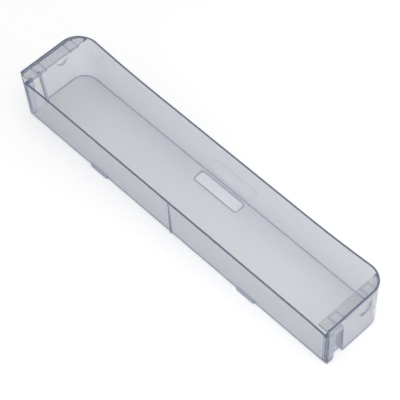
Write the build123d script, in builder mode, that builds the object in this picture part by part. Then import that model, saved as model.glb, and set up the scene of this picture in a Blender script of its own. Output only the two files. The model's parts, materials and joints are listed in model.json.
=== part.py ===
from build123d import *
import os

# A door shelf of a refrigerator, moulded in one piece from clear plastic.
# X runs along the shelf, +Y faces the door and -Y the room, and Z = 0 is the base it stands on.

# Overall sizes, in millimetres
length = 450.0          # over the rims of the two end walls
depth = 87.2            # from the front rim to the door side
end_height = 71.4       # rim of the end walls
corner_height = 68.4    # rim at the front corners
front_height = 63.8     # rim of the front wall, between its sweeps
back_height = 56.8      # rim of the back wall

# Sections
wall = 2.2
floor = 2.2
rib = 1.6
thin = 1.2              # casing and frames

# Draft: how far the base is set in from the rim on each side
end_draft = 2.25
back_draft = 3.5
front_draft = 0.2

# Front corners, as inside radii: the outside ones are larger by the wall
front_corner_rim = 21.7
front_corner_base = 17.8

# Back corners, and the edges round the base and the floor
back_corner_rim = 1.0
back_corner_base = 2.4
base_round = 1.0
floor_round = 1.0
back_corner_inside = floor_round + 0.6

# The front rim sweeps up to the corners, and the back rim sags to the end walls
front_sweep = 91.0      # length of each sweep
back_sweep = 37.0
back_sag = 2.6

# Plate across the top of each end, with two shallow frames under it
plate_width = 14.5      # inwards from the end rim
plate_drop = 2.2        # from the end rim, which stands over it as a lip
plate_thick = 2.0
plate_sink = 0.3        # the plate stops this far inside the outer faces, and its frames inside the wall
frame_width = 11.6
frame_drop = 2.6        # how far a frame hangs under the plate
frame_places = (18.9, 64.7)     # middles of the frames, from the door side

# Channel in each end that drops over a lug of the door, open below and outwards
channel_depth = 4.9
channel_place = 12.1    # from the door side to the straight edge of the channel
channel_top = 9.8       # width under the cap
channel_mouth = 14.4    # width at the base
channel_gap = 15.6      # from the plate down to the channel
post_step = 1.1         # the solid post by the back wall stands this far proud of the casing

# Half-moon snap dimple in each end wall, deepest at its foot
dimple_place = 32.3     # from the front rim
dimple_drop = 20.7      # from the plate to its straight edge
dimple_radius = 6.8
dimple_tilt = 12.0

# Stand-offs on the door side: one rib in the middle and two pads at the foot
middle_foot = 1.3       # how far the rib stands out at the base
middle_head = 0.2       # and at the rim
pad_place = 109.6       # from the middle of the shelf
pad_length = 24.4
pad_stand = 1.7
pad_height = 2.6
pad_fade = 7.0          # height where the pad runs out into the wall

# Line engraved round a field on the floor
field_length = 64.0
field_width = 15.2
field_round = 3.6
field_gap = 5.1         # from the front rim
line_width = 0.9
line_sink = 0.8

over = 5.0              # how far a cut runs past the faces it opens
bite = wall / 2         # how far an added piece runs into the wall that carries it

half = length / 2
side = depth / 2
corner_at = half - front_corner_rim - wall
plate_under = end_height - plate_drop - plate_thick
plate_edge = half - plate_width
channel_height = plate_under - channel_gap
channel_back = side - channel_place
casing_depth = channel_depth + thin
post_depth = casing_depth + post_step
post_top = back_height - back_sag
field_middle = field_gap + field_width / 2 - side


def fall(z):
    """Share of the draft at a height: one at the base, none at the end rim."""
    return 1 - z / end_height


def end_at(z):
    """Outer face of an end wall, as X."""
    return half - end_draft * fall(z)


def back_at(z):
    """Outer face of the back wall, as Y."""
    return side - back_draft * fall(z)


def plan(z, inset, back_corner, gap=0):
    """Outline of the shelf at a height, set in from its faces; a gap leaves only the two ends."""
    end = end_at(z) - inset
    back = back_at(z) - inset
    front = side - front_draft * fall(z) - inset
    front_corner = front_corner_rim + (front_corner_base - front_corner_rim) * fall(z)
    with BuildSketch(Plane.XY.offset(z)) as outline:
        with Locations((0, (back - front) / 2)):
            Rectangle(2 * end, back + front)
        fillet(outline.vertices().group_by(Axis.Y)[0], front_corner + wall - inset)
        fillet(outline.vertices().group_by(Axis.Y)[-1], back_corner)
        if gap:
            Rectangle(gap, 2 * depth, mode=Mode.SUBTRACT)
    return outline.sketch


with BuildPart() as shelf:
    # Drafted tub with large front corners
    loft([plan(0, 0, back_corner_base), plan(end_height, 0, back_corner_rim)], ruled=True)
    fillet(shelf.faces().sort_by(Axis.Z)[0].edges(), base_round)
    hollow = [plan(z, wall, back_corner_inside) for z in (floor, end_height + over)]
    loft(hollow, ruled=True, mode=Mode.SUBTRACT)
    inside = shelf.faces().filter_by(Plane.XY).group_by(Axis.Z)[1]
    fillet(inside.edges(), floor_round)

    # The back wall stops lower, between the end walls
    notch_end = end_at(back_height) - wall
    with BuildSketch(Plane.XZ.offset(-side)):
        with BuildLine():
            middle = Line((back_sweep - notch_end, back_height), (notch_end - back_sweep, back_height))
            right = TangentArc(middle @ 1, (notch_end, post_top), tangent=(1, 0))
            left = TangentArc(middle @ 0, (-notch_end, post_top), tangent=(-1, 0))
            Polyline(
                right @ 1,
                (notch_end, end_height + over),
                (-notch_end, end_height + over),
                left @ 1,
            )
        make_face()
    extrude(amount=back_draft + wall + over, both=True, mode=Mode.SUBTRACT)

    # Plates across the two ends, under the lip of the rim
    plates = plan(plate_under, plate_sink, back_corner_rim, gap=2 * plate_edge)
    extrude(plates, amount=plate_thick)

    # The rim falls round the front corners to the lower front wall
    with BuildSketch(Plane.YZ):
        with BuildLine():
            Polyline(
                (-side - over, corner_height),
                (-side + wall, corner_height),
                (-side + wall + front_corner_rim, end_height),
                (-side + wall + front_corner_rim, end_height + over),
                (-side - over, end_height + over),
                close=True,
            )
        make_face()
    extrude(amount=length, both=True, mode=Mode.SUBTRACT)

    # Between the corners it sweeps down to a straight middle
    with BuildSketch(Plane.XZ.offset(side)):
        with BuildLine():
            middle = Line((front_sweep - corner_at, front_height), (corner_at - front_sweep, front_height))
            right = TangentArc(middle @ 1, (corner_at, corner_height), tangent=(1, 0))
            left = TangentArc(middle @ 0, (-corner_at, corner_height), tangent=(-1, 0))
            Polyline(
                right @ 1,
                (corner_at, end_height + over),
                (-corner_at, end_height + over),
                left @ 1,
            )
        make_face()
    extrude(amount=wall + over, both=True, mode=Mode.SUBTRACT)

    for hand in (1, -1):
        # The outer face of this end, which leans with its draft
        face = Plane((hand * end_at(0), 0, 0), (0, hand, 0), (hand * end_height, 0, -end_draft))

        # Two frames under the plate, each closed by the end wall
        frame_length = end_at(plate_under) - wall + plate_sink - plate_edge
        frame_align = (Align.MIN if hand > 0 else Align.MAX, Align.CENTER)
        with BuildSketch(Plane.XY.offset(plate_under + plate_thick / 2)):
            for place in frame_places:
                with Locations((hand * plate_edge, side - place)):
                    Rectangle(frame_length, frame_width, align=frame_align)
                with Locations((hand * (plate_edge + thin), side - place)):
                    Rectangle(frame_length, frame_width - 2 * thin, align=frame_align, mode=Mode.SUBTRACT)
        extrude(amount=-plate_thick / 2 - frame_drop)

        # Solid corner post
        with BuildSketch(face.offset(-post_depth)):
            with BuildLine():
                Polyline(
                    (hand * (channel_back + wall), floor / 2),
                    (hand * (channel_back + wall), post_top),
                    (hand * (back_at(post_top) - bite), post_top),
                    (hand * (back_at(0) - bite), floor / 2),
                    close=True,
                )
            make_face()
        extrude(amount=post_depth - bite)

        # Casing of the channel, level with the post, then the channel itself
        with BuildSketch(face.offset(-casing_depth)):
            with BuildLine():
                Polyline(
                    (hand * (channel_back - channel_mouth - thin), 0),
                    (hand * (channel_back - channel_top - thin), post_top),
                    (hand * (channel_back + wall), post_top),
                    (hand * (channel_back + wall), 0),
                    close=True,
                )
            make_face()
        extrude(amount=casing_depth - bite)
        with BuildSketch(face.offset(over)):
            with BuildLine():
                Polyline(
                    (hand * (channel_back - channel_mouth), -over),
                    (hand * (channel_back - channel_mouth), 0),
                    (hand * (channel_back - channel_top), channel_height),
                    (hand * channel_back, channel_height),
                    (hand * channel_back, -over),
                    close=True,
                )
            make_face()
        extrude(amount=-channel_depth - over, mode=Mode.SUBTRACT)

        # Snap dimple: a tilted half disc pressed in from outside, so that it stands out inside
        spot = Location((hand * (dimple_place - side), plate_under - dimple_drop, 0), (dimple_tilt, 0, 0))
        tilted = Plane(face.location * spot)
        with BuildSketch(tilted.offset(-wall)):
            Circle(dimple_radius + bite)
            Rectangle(length, length, align=(Align.CENTER, Align.MIN), mode=Mode.SUBTRACT)
        extrude(amount=wall)
        with BuildSketch(tilted):
            Circle(dimple_radius)
            Rectangle(length, length, align=(Align.CENTER, Align.MIN), mode=Mode.SUBTRACT)
        extrude(amount=over, mode=Mode.SUBTRACT)

        # Pad at the foot of the back wall
        with BuildSketch(Plane.YZ.offset(hand * pad_place)):
            with BuildLine():
                Polyline(
                    (back_at(0) - bite, 0),
                    (back_at(0) + pad_stand, 0),
                    (back_at(0) + pad_stand, pad_height),
                    (back_at(pad_fade), pad_fade),
                    (back_at(pad_fade) - bite, pad_fade),
                    close=True,
                )
            make_face()
        extrude(amount=pad_length / 2, both=True)

    # Rib up the middle of the back wall
    with BuildSketch(Plane.YZ):
        with BuildLine():
            Polyline(
                (back_at(0) - bite, 0),
                (back_at(0) + middle_foot, 0),
                (back_at(back_height) + middle_head, back_height),
                (back_at(back_height) - bite, back_height),
                close=True,
            )
        make_face()
    extrude(amount=rib / 2, both=True)

    # Line engraved round a field on the floor, by the front wall
    with BuildSketch(Plane.XY.offset(floor)):
        with Locations((0, field_middle)):
            RectangleRounded(field_length, field_width, field_round)
            RectangleRounded(
                field_length - 2 * line_width,
                field_width - 2 * line_width,
                field_round - line_width,
                mode=Mode.SUBTRACT,
            )
    extrude(amount=-line_sink, mode=Mode.SUBTRACT)

shelf.part.label = "door_shelf"

os.makedirs("parts", exist_ok=True)
export_step(shelf.part, "parts/door_shelf.step")
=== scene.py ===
# %% [markdown]
# # A refrigerator door shelf in clear plastic
#
# The shelf is one moulding: a long shallow tub with two large front corners, a lower back wall
# that faces the door, a ledge across the top of each end, and a channel under each ledge that
# drops over a lug of the door. There is nothing to assemble, so this lesson is about the skin of
# one clear piece, and about the light that makes clear plastic readable.
#
# X runs along the shelf, +Y faces the door, Z is up, and all lengths are in metres.

# %% Load the frame
import bpy
import json
from math import radians
from mathutils import Euler, Matrix

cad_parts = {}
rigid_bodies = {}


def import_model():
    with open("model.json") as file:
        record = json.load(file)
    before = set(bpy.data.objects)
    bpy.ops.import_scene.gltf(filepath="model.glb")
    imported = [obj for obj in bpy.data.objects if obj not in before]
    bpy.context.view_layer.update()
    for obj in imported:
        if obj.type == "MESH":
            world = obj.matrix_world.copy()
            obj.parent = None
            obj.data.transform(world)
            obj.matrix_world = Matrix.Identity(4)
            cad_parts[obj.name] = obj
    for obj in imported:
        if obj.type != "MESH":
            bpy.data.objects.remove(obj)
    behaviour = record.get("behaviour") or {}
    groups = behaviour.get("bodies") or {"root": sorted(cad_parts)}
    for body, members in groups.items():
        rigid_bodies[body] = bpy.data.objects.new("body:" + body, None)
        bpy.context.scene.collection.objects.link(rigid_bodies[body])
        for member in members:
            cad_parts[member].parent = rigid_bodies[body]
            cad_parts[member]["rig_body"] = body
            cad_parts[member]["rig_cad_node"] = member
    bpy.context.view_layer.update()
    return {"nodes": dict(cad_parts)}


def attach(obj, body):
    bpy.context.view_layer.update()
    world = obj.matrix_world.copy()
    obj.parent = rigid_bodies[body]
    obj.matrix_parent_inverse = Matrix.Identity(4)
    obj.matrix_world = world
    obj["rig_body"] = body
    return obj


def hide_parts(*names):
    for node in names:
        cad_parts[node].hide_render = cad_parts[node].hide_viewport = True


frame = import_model()

# %% [markdown]
# ## One watertight skin
#
# The loaded model is a cloud of loose triangles. That is fine for an opaque part, but light that
# passes through plastic is bent by the normal at every crossing, so split corners would show as
# facets. The shelf could be modelled again by hand, but its shape is already right. So it is
# copied, the triangles are merged into one skin, the normals that came with them are cleared,
# and the skin is shaded smooth round the corner radii and sharp at the edges. A Weighted Normal
# modifier then lets the large flat walls keep their own direction, so that only the small facets
# of the radii bend the light. Bisect also draws a level line round the foot of the walls, just over
# the floor, because the edge of the floor gets painted light and shade of its own later on.

# %% Merge a copy of the moulding
SAME_POINT = 1e-6
SMOOTH_UNDER = radians(19)
FLATNESS = 100
FOOT_TOP = 0.0024


def only(thing):
    """Select one object alone, and make it the active one."""
    bpy.ops.object.select_all(action="DESELECT")
    thing.select_set(True)
    bpy.context.view_layer.objects.active = thing


only(frame["nodes"]["door_shelf"])
bpy.ops.object.duplicate()
moulding = bpy.context.active_object
moulding.name = "shelf_moulding"
bpy.ops.object.mode_set(mode="EDIT")
bpy.ops.mesh.select_all(action="SELECT")
bpy.ops.mesh.remove_doubles(threshold=SAME_POINT)
bpy.ops.mesh.bisect(plane_co=(0, 0, FOOT_TOP), plane_no=(0, 0, 1))
bpy.ops.object.mode_set(mode="OBJECT")
bpy.ops.mesh.customdata_custom_splitnormals_clear()
bpy.ops.object.shade_smooth_by_angle(angle=SMOOTH_UNDER)
level_walls = moulding.modifiers.new("level_walls", "WEIGHTED_NORMAL")
level_walls.mode = "FACE_AREA"
level_walls.weight = FLATNESS
level_walls.keep_sharp = True
bpy.ops.object.modifier_apply(modifier=level_walls.name)
print("skin", len(moulding.data.vertices), "points", len(moulding.data.polygons), "faces")

# %% [markdown]
# The copy stands in for the loaded node and rides on the only body, so the loaded triangles stay
# out of sight and are used for contact alone. A copy also carries the labels of the node that it
# came from, and those are taken off first.

# %% Put the skin in the node's place
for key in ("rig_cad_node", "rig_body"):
    if key in moulding:
        del moulding[key]
moulding.parent = None
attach(moulding, "root")
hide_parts("door_shelf")

# %% [markdown]
# ## Marks of the mould
#
# A moulded clear part is never optically perfect. The flow of the melt leaves a slow waviness,
# and the steel and later handling leave a fine haze. One node group makes both from Object
# coordinates, so that the marks stay fixed to the plastic, and gives a height for the bump and a
# roughness.

# %% Build the mould marks group
MARK_INPUTS = (("Wave Scale", 14.0), ("Haze Scale", 160.0), ("Polish", 0.02), ("Haze", 0.1))
WAVE_DETAIL = 2.0
HAZE_DETAIL = 4.0
HAZE_SPAN = (0.42, 0.75)


def mould_marks():
    """Node group: slow flow waves and fine haze, as a height and a roughness."""
    group = bpy.data.node_groups.new("mould_marks", "ShaderNodeTree")
    for name, start in MARK_INPUTS:
        socket = group.interface.new_socket(name, in_out="INPUT", socket_type="NodeSocketFloat")
        socket.default_value = start
    for name in ("Height", "Roughness"):
        group.interface.new_socket(name, in_out="OUTPUT", socket_type="NodeSocketFloat")
    nodes, links = group.nodes, group.links
    given = nodes.new("NodeGroupInput")
    result = nodes.new("NodeGroupOutput")
    place = nodes.new("ShaderNodeTexCoord")
    waves = nodes.new("ShaderNodeTexNoise")
    waves.inputs["Detail"].default_value = WAVE_DETAIL
    haze = nodes.new("ShaderNodeTexNoise")
    haze.inputs["Detail"].default_value = HAZE_DETAIL
    spread = nodes.new("ShaderNodeMapRange")
    spread.inputs["From Min"].default_value, spread.inputs["From Max"].default_value = HAZE_SPAN
    for noise, scale in ((waves, "Wave Scale"), (haze, "Haze Scale")):
        links.new(place.outputs["Object"], noise.inputs["Vector"])
        links.new(given.outputs[scale], noise.inputs["Scale"])
    links.new(waves.outputs["Fac"], result.inputs["Height"])
    links.new(haze.outputs["Fac"], spread.inputs["Value"])
    links.new(given.outputs["Polish"], spread.inputs["To Min"])
    links.new(given.outputs["Haze"], spread.inputs["To Max"])
    links.new(spread.outputs["Result"], result.inputs["Roughness"])
    return group


marks = mould_marks()
print("group", marks.name, len(marks.nodes), "nodes")

# %% [markdown]
# ## Clear plastic with a blue cast
#
# The plastic is nearly colourless through one wall and slate blue along an edge, where light has
# come a long way inside it. A tinted surface can't do that. The tint is therefore a Volume
# Absorption inside the skin, which takes more light the further it travels, and the surface
# itself is clear glass with the refraction of polystyrene.
#
# A lamp's ray can't find its way through a bent surface, so clear things cast shadows that are
# too dark. For shadow rays alone the skin is therefore plain see-through, and a little warm, so
# that the table under the shelf doesn't turn too blue.

# %% Make the plastic
TINT = (0.44, 0.55, 0.78, 1.0)
TINT_DENSITY = 100.0
POLYSTYRENE_IOR = 1.57
WAVE_HEIGHT = 0.00004
SHADOW_TINT = (0.99, 0.967, 0.915, 1.0)
PLASTIC_COLOUR = (0.818, 0.808, 0.798, 1.0)
PLASTIC_CLEARNESS = 0.94


def clear_plastic(name, colour, clearness):
    """Material: refracting skin with mould marks, and an absorbing inside."""
    material = bpy.data.materials.new(name)
    material.use_nodes = True
    nodes, links = material.node_tree.nodes, material.node_tree.links
    skin = nodes["Principled BSDF"]
    skin.inputs["Base Color"].default_value = colour
    skin.inputs["Transmission Weight"].default_value = clearness
    skin.inputs["IOR"].default_value = POLYSTYRENE_IOR
    made = nodes.new("ShaderNodeGroup")
    made.node_tree = marks
    bump = nodes.new("ShaderNodeBump")
    bump.inputs["Distance"].default_value = WAVE_HEIGHT
    bump.inputs["Strength"].default_value = 1.0
    links.new(made.outputs["Height"], bump.inputs["Height"])
    links.new(bump.outputs["Normal"], skin.inputs["Normal"])
    links.new(made.outputs["Roughness"], skin.inputs["Roughness"])
    path = nodes.new("ShaderNodeLightPath")
    through = nodes.new("ShaderNodeBsdfTransparent")
    through.inputs["Color"].default_value = SHADOW_TINT
    either = nodes.new("ShaderNodeMixShader")
    links.new(path.outputs["Is Shadow Ray"], either.inputs["Fac"])
    links.new(skin.outputs["BSDF"], either.inputs[1])
    links.new(through.outputs["BSDF"], either.inputs[2])
    links.new(either.outputs["Shader"], nodes["Material Output"].inputs["Surface"])
    inside = nodes.new("ShaderNodeVolumeAbsorption")
    inside.inputs["Color"].default_value = TINT
    inside.inputs["Density"].default_value = TINT_DENSITY
    links.new(inside.outputs["Volume"], nodes["Material Output"].inputs["Volume"])
    return material


plastic = clear_plastic("clear_blue_plastic", PLASTIC_COLOUR, PLASTIC_CLEARNESS)
moulding.data.materials.clear()
moulding.data.materials.append(plastic)
print("material", plastic.name)

# %% [markdown]
# ## Where the plastic shows its ends
#
# Light is caught between the faces of a clear sheet, runs along inside it, and comes out where
# the sheet ends, tired and blue. A renderer that follows a dozen bounces loses that light and
# draws the ends black. So the narrow faces where a sheet ends get painted light and shade: a
# material of their own, less clear and slate blue, that stands in for that light and draws the ends
# as dark slate-blue lines.
#
# They could be picked by hand in edit mode. Here each feature has a box, given as spans of X, Y
# and Z, and a face belongs to a feature if its middle lies in the box. The two ends are alike, so
# X is counted from the middle of the shelf towards either end.

# %% Box the features
NEAR = 0.00005
OUT = 1.0
ANY = (-OUT, OUT)
LEDGE_TOP = 0.0692
FLOOR_TOP = 0.0022
BASE_ROUND = 0.001

RIM = (ANY, ANY, (0.0535, OUT))
LEDGE = (ANY, ANY, (LEDGE_TOP - NEAR, LEDGE_TOP + NEAR))
LIP = ((-OUT, 0.2235), ANY, (LEDGE_TOP, OUT))
CASING = ((0.2140, OUT), (0.0155, 0.0330), (-OUT, 0.0575))
CHANNEL = ((0.2183, OUT), (0.0160, 0.0330), (-OUT, 0.0522))
DIMPLE = ((0.2195, OUT), (-0.0190, -0.0035), (0.0380, 0.0480))
RIB = ((-OUT, 0.00085), (0.0380, OUT), ANY)
PAD = ((0.0970, 0.1222), (0.0402, OUT), (-OUT, 0.0075))
BASE = (ANY, ANY, (-OUT, BASE_ROUND + NEAR))
FOOT = (ANY, ANY, (BASE_ROUND, FOOT_TOP))
FLOOR = (ANY, ANY, (FLOOR_TOP - NEAR, FLOOR_TOP + NEAR))
LINE = ((-OUT, 0.0335), (-0.0395, -0.0225), (BASE_ROUND, FLOOR_TOP - NEAR))
FIELD = ((-OUT, 0.0311), (-0.0376, -0.0242), ANY)


def lies_in(face, box):
    """True for a face whose middle lies in a box of spans, at either end of the shelf."""
    x, y, z = face.center
    return all(low < value < high for value, (low, high) in zip((abs(x), y, z), box))


print("faces in the rim's box", sum(lies_in(face, RIM) for face in moulding.data.polygons))

# %% [markdown]
# A box also catches the walls that run through it, so a face has to look the right way too. The
# ends are the rims, the round of the base and the middle rib. The steps of the channels, the
# dimples and the pads, the lips over the ledges, the line round the field, and the edge of the
# floor along the foot of the walls catch light from more sides, so they get the same painted
# light and shade in a paler blue.

# %% Paint light and shade on the narrow ends and the steps
LEVEL = 0.999
FACING = 0.9
LEANING = 0.3
BASE_LOOKS = (-0.99, -0.05)
# The slate blue of the ends and the paler blue of the steps are painted light and shade, not colours
# of the plastic.
END_PAINTED_SHADE_COLOUR = (0.40, 0.50, 0.72, 1.0)
END_PAINTED_SHADE_CLEARNESS = 0.70
STEP_PAINTED_SHADE_COLOUR = (0.66, 0.72, 0.86, 1.0)
STEP_PAINTED_SHADE_CLEARNESS = 0.50


def is_narrow_end(face):
    """True for a face where a sheet of the plastic ends."""
    towards = face.normal
    ledge = lies_in(face, LEDGE) and towards.z > LEVEL
    rim = lies_in(face, RIM) and towards.z > FACING and not ledge and not lies_in(face, CASING)
    base = lies_in(face, BASE) and BASE_LOOKS[0] < towards.z < BASE_LOOKS[1]
    rib = lies_in(face, RIB) and abs(towards.z) < FACING
    return rim or base or rib


def is_step(face):
    """True for a step: in a channel or dimple, a pad, the line, the edge of the floor, a lip."""
    towards = face.normal
    channel = lies_in(face, CHANNEL) and abs(towards.y) > FACING
    dimple = lies_in(face, DIMPLE) and abs(towards.x) < FACING
    foot = lies_in(face, FOOT) and abs(towards.z) < LEANING
    lip = lies_in(face, LIP) and abs(towards.x) > LEANING
    return channel or dimple or foot or lip or lies_in(face, PAD) or lies_in(face, LINE)


def plastic_or_painted_shade_of(face):
    """Number of the material that a face takes: the plastic, or the painted light and shade of an
    end or a step.
    """
    if is_step(face):
        return 2
    return 1 if is_narrow_end(face) else 0


# Two materials of painted light and shade: slate blue for the ends, paler blue for the steps.
moulding.data.materials.append(clear_plastic("painted_shade_ends", END_PAINTED_SHADE_COLOUR, END_PAINTED_SHADE_CLEARNESS))
moulding.data.materials.append(clear_plastic("painted_shade_steps", STEP_PAINTED_SHADE_COLOUR, STEP_PAINTED_SHADE_CLEARNESS))
picks = [plastic_or_painted_shade_of(face) for face in moulding.data.polygons]
moulding.data.polygons.foreach_set("material_index", picks)
print("faces by finish", [picks.count(number) for number in range(3)])

# %% [markdown]
# ## A grained floor, and a polished field with painted light
#
# The walls are polished, but the floor has a fine grain that hides scratches, so it doesn't mirror
# the walls. Inside the engraved line it is polished again, and the field is given a lighter colour
# that lets more light through; that is painted light, not a colour of the plastic. Materials of
# their own would end the plastic at their edges, and light that enters by the field has to leave by
# the same plastic. So the one plastic reads marks that are kept with the faces: it is rougher where
# the grain is, and painted lighter in the field.

# %% Grain the floor and paint light into the polished field
# Painted light: the field's lighter base colour stands in for its brighter look.
FIELD_PAINTED_LIGHT_COLOUR = (1.0, 0.985, 0.985, 1.0)
GRAIN = 0.38


def is_field(face):
    """True for the field inside the engraved line."""
    return lies_in(face, FLOOR) and face.normal.z > FACING and lies_in(face, FIELD)


def is_grained(face):
    """True for the upper face of the floor, outside the field."""
    return lies_in(face, FLOOR) and face.normal.z > FACING and not is_field(face)


def marked_mix(name, test, kind):
    """Mark the faces that pass a test; return both inputs and the output of a mix that reads it."""
    values = [float(test(face)) for face in moulding.data.polygons]
    kept = moulding.data.attributes.new(name, "FLOAT", "FACE")
    kept.data.foreach_set("value", values)
    mark = plastic.node_tree.nodes.new("ShaderNodeAttribute")
    mark.attribute_name = name
    blend = plastic.node_tree.nodes.new("ShaderNodeMix")
    blend.data_type = kind
    share, unmarked, marked = [socket for socket in blend.inputs if socket.enabled]
    plastic.node_tree.links.new(mark.outputs["Fac"], share)
    print(name, int(sum(values)), "faces")
    return unmarked, marked, next(socket for socket in blend.outputs if socket.enabled)


links = plastic.node_tree.links
skin = plastic.node_tree.nodes["Principled BSDF"]
# The field is painted lighter here; this is painted light, not a colour of the plastic.
plain, painted_light_colour, colour = marked_mix("field_painted_light", is_field, "RGBA")
plain.default_value = PLASTIC_COLOUR
painted_light_colour.default_value = FIELD_PAINTED_LIGHT_COLOUR
links.new(colour, skin.inputs["Base Color"])
smooth, grained, roughness = marked_mix("grain", is_grained, "FLOAT")
links.new(skin.inputs["Roughness"].links[0].from_socket, smooth)
grained.default_value = GRAIN
links.new(roughness, skin.inputs["Roughness"])

# %% [markdown]
# ## A white table
#
# The shelf stands on a wide white table. The table is lit like everything else, so it keeps the
# shadow, and a little light of its own lifts it to white for the rays that see it as background.

# %% Lay the table
TABLE_SIZE = 12.0
TABLE_GAP = 0.00005
TABLE_COLOUR = (0.86, 0.86, 0.86, 1.0)
TABLE_ROUGHNESS = 0.9
TABLE_LIFT = 0.28
WHITE = (1.0, 1.0, 1.0, 1.0)


def seen_as_background(nodes, links):
    """Add the nodes that give 1 for rays that see a thing directly, in a mirror or through glass."""
    path = nodes.new("ShaderNodeLightPath")
    either = nodes.new("ShaderNodeMath")
    either.operation = "MAXIMUM"
    seen = nodes.new("ShaderNodeMath")
    seen.operation = "MAXIMUM"
    links.new(path.outputs["Is Camera Ray"], either.inputs[0])
    links.new(path.outputs["Is Glossy Ray"], either.inputs[1])
    links.new(either.outputs["Value"], seen.inputs[0])
    links.new(path.outputs["Is Transmission Ray"], seen.inputs[1])
    return seen.outputs["Value"]


bpy.ops.object.select_all(action="DESELECT")
bpy.ops.mesh.primitive_plane_add(size=TABLE_SIZE, location=(0, 0, -TABLE_GAP))
table = bpy.context.active_object
table.name = "white_table"
paint = bpy.data.materials.new("white_table_top")
paint.use_nodes = True
nodes, links = paint.node_tree.nodes, paint.node_tree.links
top = nodes["Principled BSDF"]
top.inputs["Base Color"].default_value = TABLE_COLOUR
top.inputs["Roughness"].default_value = TABLE_ROUGHNESS
top.inputs["Specular IOR Level"].default_value = 0.0
lift = nodes.new("ShaderNodeMath")
lift.operation = "MULTIPLY"
lift.inputs[1].default_value = TABLE_LIFT
links.new(seen_as_background(nodes, links), lift.inputs[0])
top.inputs["Emission Color"].default_value = WHITE
links.new(lift.outputs["Value"], top.inputs["Emission Strength"])
table.data.materials.append(paint)
print("table", TABLE_SIZE, "m wide")

# %% [markdown]
# ## Soft light
#
# Clear plastic shows what is around it. A white room gives the even tone of the walls. Two soft
# boxes stand over the -X end and beside it, so that the light falls off a little along the shelf.

# %% Light the room
ROOM_LIGHT = 0.62
SOFT_BOXES = (
    # name, place, size, power
    ("box_over", (-0.45, 0.15, 1.3), 1.2, 5.5),
    ("box_side", (-0.85, 0.35, 0.65), 0.5, 1.6),
)

room = bpy.data.worlds.new("white_room")
room.use_nodes = True
bpy.context.scene.world = room
nodes, links = room.node_tree.nodes, room.node_tree.links
level = nodes.new("ShaderNodeMapRange")
level.inputs["To Min"].default_value = ROOM_LIGHT
level.inputs["To Max"].default_value = 1.0
links.new(seen_as_background(nodes, links), level.inputs["Value"])
nodes["Background"].inputs["Color"].default_value = WHITE
links.new(level.outputs["Result"], nodes["Background"].inputs["Strength"])

for name, place, size, power in SOFT_BOXES:
    lamp = bpy.data.lights.new(name, "AREA")
    lamp.size = size
    lamp.energy = power
    box = bpy.data.objects.new(name, lamp)
    box.location = place
    box.rotation_euler = (-box.location).to_track_quat("-Z", "Y").to_euler()
    bpy.context.scene.collection.objects.link(box)
print("lamps", [name for name, *_ in SOFT_BOXES])

# %% [markdown]
# ## The camera
#
# The view is from high up, over the near corner of the door side, through a long lens, so that
# the long edges stay almost parallel. Place, turn and lens were fitted together from the straight
# edges and the rim of the shelf.

# %% Place the camera
LENS_MM = 161.41
SENSOR_MM = 36.0
CAMERA_PLACE = (-0.7645, 0.7276, 1.5685)
AZIMUTH, ELEVATION, ROLL = 226.3135, 55.7491, -1.0730

scene = bpy.context.scene
eye = bpy.data.cameras.new("product_camera")
eye.lens = LENS_MM
eye.sensor_width = SENSOR_MM
camera = bpy.data.objects.new("product_camera", eye)
scene.collection.objects.link(camera)
turn = Euler((radians(90 - ELEVATION), 0, radians(AZIMUTH))).to_matrix()
turn = turn @ Matrix.Rotation(radians(ROLL), 3, "Z")
camera.matrix_world = Matrix.Translation(CAMERA_PLACE) @ turn.to_4x4()
scene.camera = camera
scene.view_settings.view_transform = "Standard"
print("camera at", tuple(camera.location))
